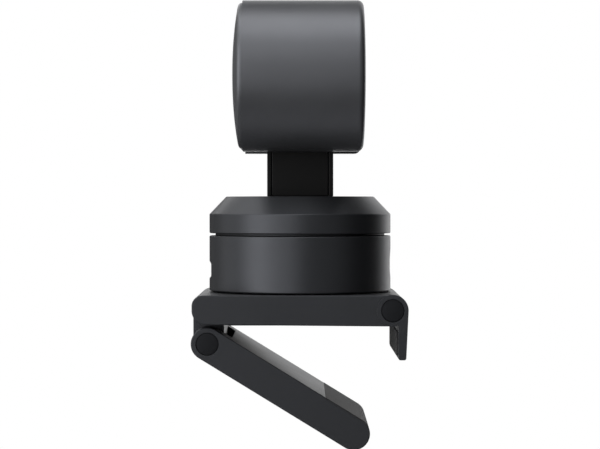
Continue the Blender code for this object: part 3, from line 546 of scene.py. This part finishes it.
def make_rear_cover():
    """A slightly domed cover with a soft rim, notched for the neck."""
    (rear_x, spigot_x), (_, side), _ = span("rear_cover")
    rim = side - HEAD_FLAT
    crown = rear_x + 0.08
    meets = COVER_MEETS - 0.03
    # how far behind the drum, and how far below its skin, the soft brow runs
    brow = [(0.0, 0.0), (0.23, 0.02), (0.48, 0.08), (0.73, 0.19), (0.93, 0.38), (1.08, 0.75), (1.18, 1.15)]
    brow_end, brow_drop = brow[-1]
    dome = meets - brow_end - crown
    dome_power = 2.3
    dome_shares = [0.02 + 0.98 * i / 32 for i in range(33)]
    sections = [(crown + dome * share ** dome_power, (rim - brow_drop) * share) for share in dome_shares]
    sections += [(meets - behind, rim - drop) for behind, drop in reversed(brow[:-1])]
    spigot = HEAD_RADIUS - SHELL_WALL - GAP
    spigot_wall = 1.4
    seat = HEAD_REAR - GAP + 0.1
    sections += [(meets, spigot), (spigot_x, spigot), (spigot_x, spigot - spigot_wall),
                 (seat, spigot - spigot_wall)]
    cover = link("rear_cover_dome", lofted(sections, HEAD_FLAT, (0.0, TILT.z), 48))
    carve(cover, [neck_sweep()])
    finish_piece(cover, HEAD_SATIN_PAINTED_LIGHT, "head", ("rear_cover",))


def make_front_panel():
    """The black glass panel with its two lens openings."""
    (back, front), (_, side), _ = span("front_glass")
    rim = side - HEAD_FLAT
    edge = 0.45
    shoulder = HEAD_FRONT + 0.1
    dome = front - shoulder
    dome_shares = [1.0 - 0.98 * i / 24 for i in range(25)]
    sections = [(back, rim)] + arc((shoulder - edge, rim - edge), edge, 90.0, 15.0, 5)
    sections += [(shoulder + dome * (1.0 - share * share), (rim - edge) * share) for share in dome_shares]
    panel = link("front_panel", lofted(sections, HEAD_FLAT, (0.0, TILT.z), 48))
    holes = []
    for word in LENSES:
        _, barrel_sides, _ = span(f"{word}_lens_barrel")
        radius, middle = half_and_middle(*barrel_sides)
        profile = disc_profile(radius + 0.12, back - 1.0, front + 1.0)
        holes.append(turned_at("X", (0.0, middle, TILT.z), profile))
    carve(panel, holes + [neck_sweep()])
    finish_piece(panel, GLASS, "head", ("front_glass",))


def make_slot_hood():
    """The thin black hood that closes the head round the neck's swing."""
    outer_half, inner_half = SLOT_HALF_WIDTH - 0.05, 7.12
    hub_radius, hub_half = 6.0, 9.0
    under = HEAD_RADIUS - 0.15
    # keeps just under the drum's skin, and follows its rounded front edge
    limits = [(COVER_MEETS + 0.2, under), (HEAD_FRONT - 1.4, under),
              (HEAD_FRONT - 0.9, under - 0.12), (HEAD_FRONT - 0.4, under - 0.5)]
    hood = link("slot_hood", neck_sweep(0.75, outer_half))
    carve(hood, [lofted(limits, HEAD_FLAT, (0.0, TILT.z))], "INTERSECT")
    carve(hood, [neck_sweep(0.45, inner_half),
                 extruded(circle((TILT.x, TILT.z), hub_radius), -hub_half, hub_half)])
    finish_piece(hood, RING_BLACK, "head", ())


def make_barrel(word, centre, radius, bore, glass_front):
    """A lens barrel with a rounded mouth and a stepped baffle down to the glass."""
    (back, front), _, _ = span(f"{word}_lens_barrel")
    corner, bevel = 0.25, 0.1
    mouth = radius - 0.75
    profile = [(bore, back), (radius, back), (radius, front - 0.35)]
    profile += arc((radius - corner, front - corner), corner, 0.0, 90.0, 5)
    profile += [(mouth + bevel, front), (mouth, front - bevel)]
    steps = 6
    floor = glass_front + 0.15
    fall = (floor - front + bevel) / steps
    narrowing = (bore + 0.25 - mouth) / steps
    for i in range(1, steps + 1):
        tread, height = mouth + narrowing * i, front - bevel + fall * i
        profile += [(tread + 0.12, height - fall * 0.15), (tread, height)]
    profile += [(bore, floor - 0.1)]
    barrel = link(f"{word}_barrel", turned_at("X", centre, profile))
    finish_piece(barrel, BARREL, "head", (f"{word}_lens_barrel",), 25.0)


def make_glass(word, centre, rim, glass_front):
    """The front lens: a bulging face, and a back that narrows."""
    half_angle = math.radians(42.0)
    bulge = 0.9
    curve = rim / math.sin(half_angle)
    depth = bulge / (1.0 - math.cos(half_angle))
    slices = 14
    face = []
    for i in range(slices, -1, -1):
        angle = half_angle * i / slices
        face.append((curve * math.sin(angle),
                     glass_front - bulge + depth * (math.cos(angle) - math.cos(half_angle))))
    profile = face + [(0.0, glass_front - 2.6), (rim * 0.6, glass_front - 2.4), (rim, glass_front - 1.9)]
    lens = link(f"{word}_front_element", turned_at("X", centre, profile))
    finish_piece(lens, LENS, "head", (f"{word}_lens",), 50.0)


def make_iris(word, centre, rim, glass_front):
    """A thin black ring behind the front lens."""
    opening = rim * 0.34
    front, back = glass_front - 3.2, glass_front - 4.0
    profile = [(opening, front - 0.4), (rim, front), (rim, back), (opening, back)]
    iris = link(f"{word}_iris", turned_at("X", centre, profile))
    finish_piece(iris, BARREL, "head", ())


def make_lens(word):
    """A barrel with its front lens and, behind that, an iris."""
    _, barrel_sides, _ = span(f"{word}_lens_barrel")
    (_, glass_front), glass_sides, _ = span(f"{word}_lens")
    radius, middle = half_and_middle(*barrel_sides)
    glass_radius, _ = half_and_middle(*glass_sides)
    centre = (0.0, middle, TILT.z)
    bore = glass_radius + GAP
    rim = bore - 0.05
    make_barrel(word, centre, radius, bore, glass_front)
    make_glass(word, centre, rim, glass_front)
    make_iris(word, centre, rim, glass_front)


# -------------------------------------------------------------- neck and stage

def make_neck():
    """The glossy post, with a rounded top on the tilt axis and a tenon into the cap."""
    (rear, front), (_, side), (low, _) = span("neck_frame")
    _, _, (_, cover_top) = span("neck_rear_cover")
    foot = PAN_CAP_HIGH + 0.03
    axis = (TILT.x, TILT.z)
    motor_bore = 5.3
    rear -= GAP - SEAM
    front += GAP - SEAM
    shoulder = cover_top + SEAM
    post = arc(axis, front - GAP, 0.0, 180.0, 48)
    post += [(rear + GAP, shoulder), (rear, shoulder), (rear, foot), (front, foot),
             (front, shoulder), (front - GAP, shoulder)]
    body = link("neck_post", extruded(post, -side, side, 0.25))
    carve(body, [extruded(circle(axis, motor_bore), -side - 1.0, side + 1.0)])
    tenon = block((-TENON_HALF_LENGTH, TENON_HALF_LENGTH), (-TENON_HALF_WIDTH, TENON_HALF_WIDTH),
                  (low, foot + 1.0))
    carve(body, [tenon], "UNION")
    finish_piece(body, NECK_BLACK, "pan_stage", ("neck_frame",))
    for name, node in (("neck_back_strip", "neck_rear_cover"), ("neck_front_strip", "neck_front_cover")):
        x, y, (_, top) = span(node)
        strip = link(name, block(x, y, (foot, top), 0.18, 4))
        finish_piece(strip, NECK_BLACK, "pan_stage", (node,))


def make_pan_cap():
    """The turning cap: a low cylinder with a 45 degree shoulder."""
    radius = BASE_RADIUS
    shoulder = 26.65
    top_radius = 18.4
    wall = 1.2
    roof = PAN_CAP_HIGH - SHELL_WALL
    hub = 0.5
    room = 0.3                  # round the tenon
    corners = [(radius - wall, PAN_CAP_LOW), (radius, PAN_CAP_LOW), (radius, shoulder),
               (top_radius, PAN_CAP_HIGH), (hub, PAN_CAP_HIGH), (hub, roof),
               (top_radius - wall, roof), (radius - wall, shoulder)]
    outline = rounded(corners, [0.05, 0.3, 0.45, 0.45, 0.0, 0.0, 0.0, 0.0])
    # the two points at the hub close on the axis
    closed = [(0.0 if r < hub + 0.001 else r, z) for r, z in outline]
    cap = link("turning_cap", turned(closed, 192))
    half_length, half_width = TENON_HALF_LENGTH + room, TENON_HALF_WIDTH + room
    carve(cap, [block((-half_length, half_length), (-half_width, half_width),
                      (roof - 1.0, PAN_CAP_HIGH + 1.0))])
    finish_piece(cap, SATIN, "pan_stage", ("pan_cap",))


def make_gap_ring():
    """The black turntable that shows in the gap under the cap."""
    (_, radius), _, (_, high) = span("turntable")
    low = BASE_HIGH + 0.04
    bore = 2.9
    profile = rounded([(bore, low), (radius, low), (radius, high), (bore, high)], [0.0, 0.15, 0.15, 0.0], 3)
    ring = link("gap_ring", turned(profile, 160))
    finish_piece(ring, RING_BLACK, "pan_stage", ("turntable",))


# ------------------------------------------------------------------- round base

def make_base():
    """The round drum, with a dished recess for the socket and a hole for the window."""
    wall = SHELL_WALL
    roof = BASE_HIGH - wall
    radius = BASE_RADIUS
    bearing_bore = 6.8
    profile = rounded([(radius - wall, BASE_LOW), (radius, BASE_LOW), (radius, BASE_HIGH),
                       (bearing_bore, BASE_HIGH), (bearing_bore, roof), (radius - wall, roof)],
                      [0.1, 0.35, 0.3, 0.0, 0.0, 0.0])
    shell = link("base_drum", turned(profile, 192))

    _, (_, socket_side), socket_heights = span("usb_c_socket")
    socket_half, middle = half_and_middle(*socket_heights)
    # how deep the dish is, from outside the drum inwards, and its half height there
    dish = [(-0.6, 2.8), (0.0, 2.3), (0.4, 1.78), (0.62, 1.62)]
    dish_flat = 4.4
    recess = lofted([(depth - radius, half) for depth, half in dish], dish_flat, (0.0, middle))
    opening = socket_half + 0.2
    slot = lofted([(-radius - 1.0, opening), (-radius + 3.0, opening)], socket_side - socket_half,
                  (0.0, middle))

    _, (_, window_radius), window_heights = span("status_window")
    _, window_z = half_and_middle(*window_heights)
    hole = turned_at("X", (0.0, 0.0, window_z),
                     disc_profile(window_radius + 0.1, radius - 4.0, radius + 2.0))
    carve(shell, [recess, slot, hole])
    finish_piece(shell, SATIN, "base", ("base_shell",))


def make_status_window():
    """A black disc with a shallow dish and a ring round its rim."""
    (back, front), (_, radius), heights = span("status_window")
    _, middle = half_and_middle(*heights)
    bevel = 0.08
    ring_width = 0.1
    sag = 0.22
    profile = [(0.0, back), (radius, back), (radius, front - bevel), (radius - bevel, front)]
    for i in range(8):
        share = 1.0 - i / 8.0
        profile.append((radius * share - ring_width, front - sag * (1.0 - share * share)))
    profile.append((0.0, front - sag))
    window = link("status_dish", turned_at("X", (0.0, 0.0, middle), profile))
    finish_piece(window, WINDOW, "base", ("status_window",), 20.0)


def make_usb_socket():
    """The socket's steel shell, its tongue and the rows of contacts."""
    (front, back), (_, side), heights = span("usb_c_socket")
    outer, middle = half_and_middle(*heights)
    flat = side - outer
    centre = (0.0, middle)
    inner = outer - 0.35
    shell = link("usb_shell", lofted([(front, outer - 0.1), (front + 0.1, outer), (back, outer)],
                                     flat, centre, 24))
    carve(shell, [lofted([(front - 1.0, inner), (back - 1.0, inner)], flat, centre, 24)])
    finish_piece(shell, STEEL, "base", ("usb_c_socket",))

    tongue_half, tongue_reach = 0.35, 3.3
    tongue = link("usb_tongue", block((front + 0.9, back - 1.0), (-tongue_reach, tongue_reach),
                                      (middle - tongue_half, middle + tongue_half), 0.08))
    finish_piece(tongue, TONGUE, "base", ())

    per_row, pitch = 12, 0.5
    half_wide, half_thick = 0.13, 0.02
    reach = (front + 1.2, front + 4.2)
    stand = tongue_half + 0.01  # the contacts are let into the tongue's two faces
    for row, z in (("upper", middle + stand), ("lower", middle - stand)):
        for number in range(per_row):
            y = (number - (per_row - 1) / 2.0) * pitch
            contact = link(f"usb_contact_{row}_{number + 1}",
                           block(reach, (y - half_wide, y + half_wide), (z - half_thick, z + half_thick)))
            finish_piece(contact, GOLD, "base", ())


# ------------------------------------------------------------------------- clip

def thread_place():
    """The thread insert's middle along X, and its radius."""
    x_span, _, _ = span("tripod_thread_insert")
    radius, middle = half_and_middle(*x_span)
    return middle, radius


def plate_outline(under):
    """The plate's side view: a full-round front and two softer corners behind."""
    nose, nose_z = half_and_middle(under, PLATE_HIGH)
    top, bottom = 2.6, 3.4      # radii of the two rear corners
    fall = 0.36                 # the underside runs down a little towards the lip
    outline = arc((PLATE_REACH - nose, nose_z), nose, 0.0, 90.0, 24)
    outline += arc((top - PLATE_REACH, PLATE_HIGH - top), top, 90.0, 180.0, 24)
    outline += arc((bottom - PLATE_REACH, under + bottom), bottom, 180.0, 270.0, 24)
    return outline + [(LIP_PIN.x - 2.0, under - fall), (PLATE_REACH, under - fall)]


def plate_cuts():
    """Room for the lip's cheeks, both hinge pins, the rest pad and the thread insert."""
    pin = (LIP_PIN.x, LIP_PIN.z)
    reach = LIP_EYE_RADIUS + 0.02
    past = PLATE_REACH + 2.0
    swing = arc(pin, reach, 90.0, 270.0, 40) + [(past, pin[1] - reach), (past, pin[1] + reach)]
    cheek = LIP_CHEEK_START - SEAM
    cuts = [extruded(swing, side * cheek, side * (PLATE_SIDE + 2.0)) for side in (-1.0, 1.0)]
    leg_hole = circle((LEG_HINGE.x, LEG_HINGE.z), HINGE_HOLE_RADIUS)
    leg_reach, lip_reach = 13.0, 20.0       # half lengths of the two pins' holes
    cuts += [extruded(leg_hole, -leg_reach, leg_reach),
             extruded(circle(pin, HINGE_HOLE_RADIUS), -lip_reach, lip_reach)]
    (x0, x1), (y0, y1), _ = span("rest_pad")
    lap = 0.15                  # the pad's rim covers its pocket's edge
    cuts.append(block((x0 - lap, x1 + lap), (y0 - lap, y1 + lap), (-1.0, 1.3)))
    thread_x, thread_radius = thread_place()
    cuts.append(turned_at("Z", (thread_x, 0.0, 0.0), disc_profile(thread_radius + 0.1, 0.0, 6.7)))
    return cuts


def make_plate():
    """The clip's plate, with the knuckle of the leg's hinge under its rear edge."""
    under = 0.3
    knuckle_half = 12.0
    plate = link("clip_body", extruded(plate_outline(under), -PLATE_SIDE, PLATE_SIDE, 0.25))
    _, inside_z = half_and_middle(under, PLATE_HIGH)
    hinge = (LEG_HINGE.x, LEG_HINGE.z)
    knuckle = arc(hinge, KNUCKLE_RADIUS, 180.0, 360.0, 40)
    knuckle += [(hinge[0] + KNUCKLE_RADIUS, inside_z), (hinge[0] - KNUCKLE_RADIUS, inside_z)]
    carve(plate, [extruded(knuckle, -knuckle_half, knuckle_half, 0.15)], "UNION")
    carve(plate, plate_cuts())
    finish_piece(plate, CLIP, "base", ("clip_plate",))


def leg_matrix():
    """From the leg's own frame, with +X down the leg, to the frame of the CAD model."""
    return Matrix.Translation(LEG_HINGE * MM) @ Matrix.Rotation(LEG_OPEN, 4, "Y")


def make_leg():
    """The leg, made in its own frame, and the rubber grip let into it near the tip."""
    _, (_, half), _ = span("leg")
    outline = arc((LEG_LENGTH, 0.0), LEG_RADIUS, -90.0, 90.0, 40)
    outline += arc((0.0, 0.0), LEG_RADIUS, 90.0, 270.0, 40)
    leg = link("rear_leg", extruded(outline, -half, half, 0.25))
    slot_half, slot_depth = 13.2, 4.4       # room for the plate's knuckle
    past = 6.0
    slot_outline = rounded([(-past, -slot_half), (slot_depth, -slot_half), (slot_depth, slot_half),
                            (-past, slot_half)], [0.0, 0.6, 0.6, 0.0], 8)
    slot = extruded(slot_outline, -past, past)
    slot.transform(Matrix.Rotation(math.radians(-90.0), 4, "X"))
    grip_seat = extruded(grip_outline(0.03, 1.0), -half - 1.0, half + 1.0)
    carve(leg, [slot] + pin_cuts(half) + [grip_seat])
    leg.data.transform(leg_matrix())
    finish_piece(leg, CLIP, "leg", ("leg",))
    grip = extruded(grip_outline(), -half, half, 0.12, 3)
    grip.transform(leg_matrix())
    finish_piece(link("leg_grip", grip), RUBBER, "leg", ("leg_pad",))


def grip_outline(margin=0.0, above=0.0):
    """The grip's side view: a flat strip that wraps a little way round the tip."""
    start, proud, thick, wrap_deg = 31.0, 0.04, 0.32, 35.0
    tip = (LEG_LENGTH, 0.0)
    outer = LEG_RADIUS + proud + above
    inner = LEG_RADIUS + proud - thick - margin
    end_deg = 90.0 - wrap_deg - math.degrees(margin / LEG_RADIUS)
    outline = [(start - margin, inner)] + arc(tip, inner, 90.0, end_deg, 16)
    return outline + arc(tip, outer, end_deg, 90.0, 16) + [(start - margin, outer)]


def pin_cuts(half):
    """The hole for a hinge pin, and the seats for the caps at its ends."""
    seat = half - 1.05
    past = half + 1.0
    cap_span, _, _ = span("leg_pin_cap_right")
    cap_radius, _ = half_and_middle(*cap_span)
    seat_outline = circle((0.0, 0.0), cap_radius + 0.1)
    cuts = [extruded(circle((0.0, 0.0), HINGE_HOLE_RADIUS), -past, past)]
    return cuts + [extruded(seat_outline, side * seat, side * past) for side in (-1.0, 1.0)]


def lip_outline():
    """The lip's side view about its pin: a round eye, and a thin flap that hangs from it."""
    inner, outer = 23.5 - LIP_PIN.x, 25.4 - LIP_PIN.x       # the flap's two faces
    _, _, (bottom, _) = span("front_lip")
    low = bottom - LIP_PIN.z
    corner = 0.5
    join_deg = math.degrees(math.acos(inner / LIP_EYE_RADIUS))
    outline = arc((0.0, 0.0), LIP_EYE_RADIUS, 0.0, 360.0 - join_deg, 64)
    outline += arc((inner + corner, low + corner), corner, 180.0, 270.0, 6)
    return outline + arc((outer - corner, low + corner), corner, 270.0, 360.0, 6)


def make_lip():
    """The front lip: two cheeks round the pin and the flap between them, with its rubber pad."""
    _, (_, half), _ = span("front_lip")
    lip = link("lip_flap", extruded(lip_outline(), -half, half, 0.08, 3))
    top = -3.5
    reach = LIP_EYE_RADIUS + GAP
    past = 5.0
    room = arc((0.0, 0.0), reach, 90.0, 290.0, 48) + [(past, top - 0.2), (past, reach)]
    pad_x, pad_y, pad_z = span("lip_pad")
    floor = pad_x[1] + SEAM - LIP_PIN.x
    pocket = block((0.0, floor), (pad_y[0] - SEAM, pad_y[1] + SEAM),
                   (pad_z[0] - LIP_PIN.z - SEAM, pad_z[1] - LIP_PIN.z + SEAM))
    carve(lip, [extruded(room, -LIP_CHEEK_START, LIP_CHEEK_START)] + pin_cuts(half) + [pocket])
    lip.data.transform(Matrix.Translation(LIP_PIN * MM))
    finish_piece(lip, CLIP, "lip", ("front_lip",))
    pad = link("lip_grip", block(pad_x, pad_y, pad_z, 0.15))
    finish_piece(pad, RUBBER, "lip", ("lip_pad",))


def make_rest_pad():
    """The rubber pad under the plate, with a hole for the camera thread."""
    x, y, z = span("rest_pad")
    pad = link("rest_grip", block(x, y, z, 0.2))
    thread_x, thread_radius = thread_place()
    carve(pad, [turned_at("Z", (thread_x, 0.0, 0.0), disc_profile(thread_radius + 0.15, -1.0, 3.0))])
    finish_piece(pad, RUBBER, "base", ("rest_pad",))


def make_thread_insert():
    """The brass insert, with a quarter-inch thread of 20 turns to the inch."""
    middle, outer = thread_place()
    _, _, (low, high) = span("tripod_thread_insert")
    pitch, crest, depth = 1.27, 2.6, 0.55
    sides, levels = 72, 60
    plain = [outer] * sides
    rows = [(low, plain)]
    for level in range(levels + 1):
        z = low + (high - low) * level / levels
        turns = [z / pitch - i / sides for i in range(sides)]
        rows.append((z, [crest + depth * abs(2.0 * (turn % 1.0) - 1.0) for turn in turns]))
    rows.append((high, plain))
    bm = bmesh.new()
    rings = []
    for z, radii in rows:
        points = [point_on((middle, 0.0), radius, 360.0 * i / sides) for i, radius in enumerate(radii)]
        rings.append([bm.verts.new((x * MM, y * MM, z * MM)) for x, y in points])
    skinned(bm, rings + rings[:1])
    bmesh.ops.recalc_face_normals(bm, faces=bm.faces)
    insert = link("thread_insert", bm)
    finish_piece(insert, BRASS, "base", ("tripod_thread_insert",))


def make_pin_caps():
    """Domed caps over the ends of both hinge pins."""
    edge = 0.12
    for body in ("leg", "lip"):
        for word, outward in (("right", -1.0), ("left", 1.0)):
            node = f"{body}_pin_cap_{word}"
            x_span, sides, z_span = span(node)
            radius, x = half_and_middle(*x_span)
            _, z = half_and_middle(*z_span)
            back, face = sides if outward > 0.0 else reversed(sides)
            rim = arc((radius - edge, 0.0), edge, 0.0, 90.0, 5)
            profile = [(0.0, back), (radius, back)]
            profile += [(r, face - outward * (edge - rise)) for r, rise in rim] + [(0.0, face)]
            cap = link(f"{body}_cap_{word}", turned_at("Y", (x, 0.0, z), profile))
            finish_piece(cap, CAP_BLACK, body, (node,))


# ----------------------------------------------------------- floor, light, camera

def make_floor():
    """A pale floor, well below the clip, that fades into the white surround."""
    radius, drop = 2.5, 0.09                # metres
    solid_within, clear_beyond = 0.06, 0.22
    bm = bmesh.new()
    bmesh.ops.create_circle(bm, cap_ends=True, radius=radius, segments=96)
    floor = link("floor", bm)
    floor.location.z = cad_bounds[0][2] - drop
    nodes = Nodes("floor_pale", (0.4, 0.4, 0.41), 0.6, specular=0.15)
    gradient = nodes.add("ShaderNodeVectorMath", operation="LENGTH")
    nodes.join(nodes.position(), gradient.inputs[0])
    fade = nodes.add("ShaderNodeMapRange", From_Min=solid_within, From_Max=clear_beyond)
    nodes.join(gradient.outputs["Value"], fade.inputs["Value"])
    clear = nodes.add("ShaderNodeBsdfTransparent")
    mix = nodes.add("ShaderNodeMixShader")
    nodes.join(fade.outputs["Result"], mix.inputs["Fac"])
    nodes.join(nodes.shader.outputs["BSDF"], mix.inputs[1])
    nodes.join(clear.outputs["BSDF"], mix.inputs[2])
    nodes.join(mix.outputs["Shader"], nodes.tree.nodes["Material Output"].inputs["Surface"])
    floor.data.materials.append(nodes.material)


# name, azimuth and elevation in degrees, distance, width and height in metres, watts
LIGHTS = [
    ("key_left", -55.0, 9.0, 0.8, 0.5, 1.0, 4.8),
    ("side_left", -100.0, 5.0, 0.8, 0.5, 0.9, 1.1),
    ("back_left", -140.0, 10.0, 0.8, 0.5, 0.9, 0.2),
    ("front_left", -20.0, 8.0, 0.8, 0.5, 0.9, 2.2),
    ("front_right", 35.0, 5.0, 0.8, 0.7, 1.0, 0.5),
    ("front_high", -14.0, 46.0, 0.8, 0.6, 0.5, 1.2),
    ("top_box", 0.0, 80.0, 0.8, 0.7, 0.6, 3.6),
    ("high_left", -112.0, 58.0, 0.8, 0.5, 0.6, 1.6),
    ("back_high", -158.0, 28.0, 0.8, 0.3, 0.3, 0.45),
    ("high_right", 150.0, 40.0, 0.8, 0.4, 0.4, 0.1),
    ("rim_right", 138.0, 3.0, 0.8, 0.42, 0.6, 0.75),
    ("backdrop", 166.0, 12.0, 1.0, 0.9, 1.0, 3.3),
]


def softbox(name, azimuth, elevation, distance, width, height, power, aim=(0.0, 0.0, 0.03)):
    """An area light. Azimuth 0 stands where the camera does, 90 on the lens side."""
    data = bpy.data.lights.new(name, "AREA")
    data.shape = "RECTANGLE"
    data.size, data.size_y = width, height
    data.energy = power
    light = bpy.data.objects.new(name, data)
    a, e = math.radians(azimuth), math.radians(elevation)
    away = Vector((math.sin(a) * math.cos(e), -math.cos(a) * math.cos(e), math.sin(e)))
    light.location = Vector(aim) + away * distance
    light.rotation_euler = away.to_track_quat("Z", "Y").to_euler()
    light.visible_camera = False
    bpy.context.scene.collection.objects.link(light)


def background(tree, strength):
    """A world shader that gives white light of some strength."""
    node = tree.nodes.new("ShaderNodeBackground")
    node.inputs["Color"].default_value = (1.0, 1.0, 1.0, 1.0)
    node.inputs["Strength"].default_value = strength
    return node


def make_light():
    """A surround that is white to the camera and dark to the object, and the softboxes."""
    world = bpy.data.worlds.new("studio")
    bpy.context.scene.world = world
    world.use_nodes = True
    tree = world.node_tree
    tree.nodes.clear()
    output = tree.nodes.new("ShaderNodeOutputWorld")
    path = tree.nodes.new("ShaderNodeLightPath")
    dark = background(tree, 0.0)
    white = background(tree, 1.0)
    mix = tree.nodes.new("ShaderNodeMixShader")
    tree.links.new(path.outputs["Is Camera Ray"], mix.inputs["Fac"])
    tree.links.new(dark.outputs["Background"], mix.inputs[1])
    tree.links.new(white.outputs["Background"], mix.inputs[2])
    tree.links.new(mix.outputs["Shader"], output.inputs["Surface"])
    for light in LIGHTS:
        softbox(*light)


def make_camera():
    """The photograph's view: level, from the object's right, with a long lens."""
    distance, height = 0.5, 0.02895         # metres
    look_down_deg = 0.56
    data = bpy.data.cameras.new("camera")
    data.sensor_width = 36.0
    data.lens = 120.0
    data.clip_start, data.clip_end = 0.02, 20.0
    camera = bpy.data.objects.new("camera", data)
    camera.location = (0.0, -distance, height)
    camera.rotation_euler = (math.radians(90.0 - look_down_deg), 0.0, 0.0)
    bpy.context.scene.collection.objects.link(camera)
    bpy.context.scene.camera = camera


def build():
    """Makes the stage first, then every piece from the head down."""
    make_camera()
    make_light()
    make_floor()
    finish_cad_nodes()
    make_head_drum()
    make_rear_cover()
    make_front_panel()
    make_slot_hood()
    for word in LENSES:
        make_lens(word)
    make_neck()
    make_pan_cap()
    make_gap_ring()
    make_base()
    make_status_window()
    make_usb_socket()
    make_plate()
    make_leg()
    make_lip()
    make_rest_pad()
    make_thread_insert()
    make_pin_caps()


bpy.context.scene.view_settings.view_transform = "Standard"
build()
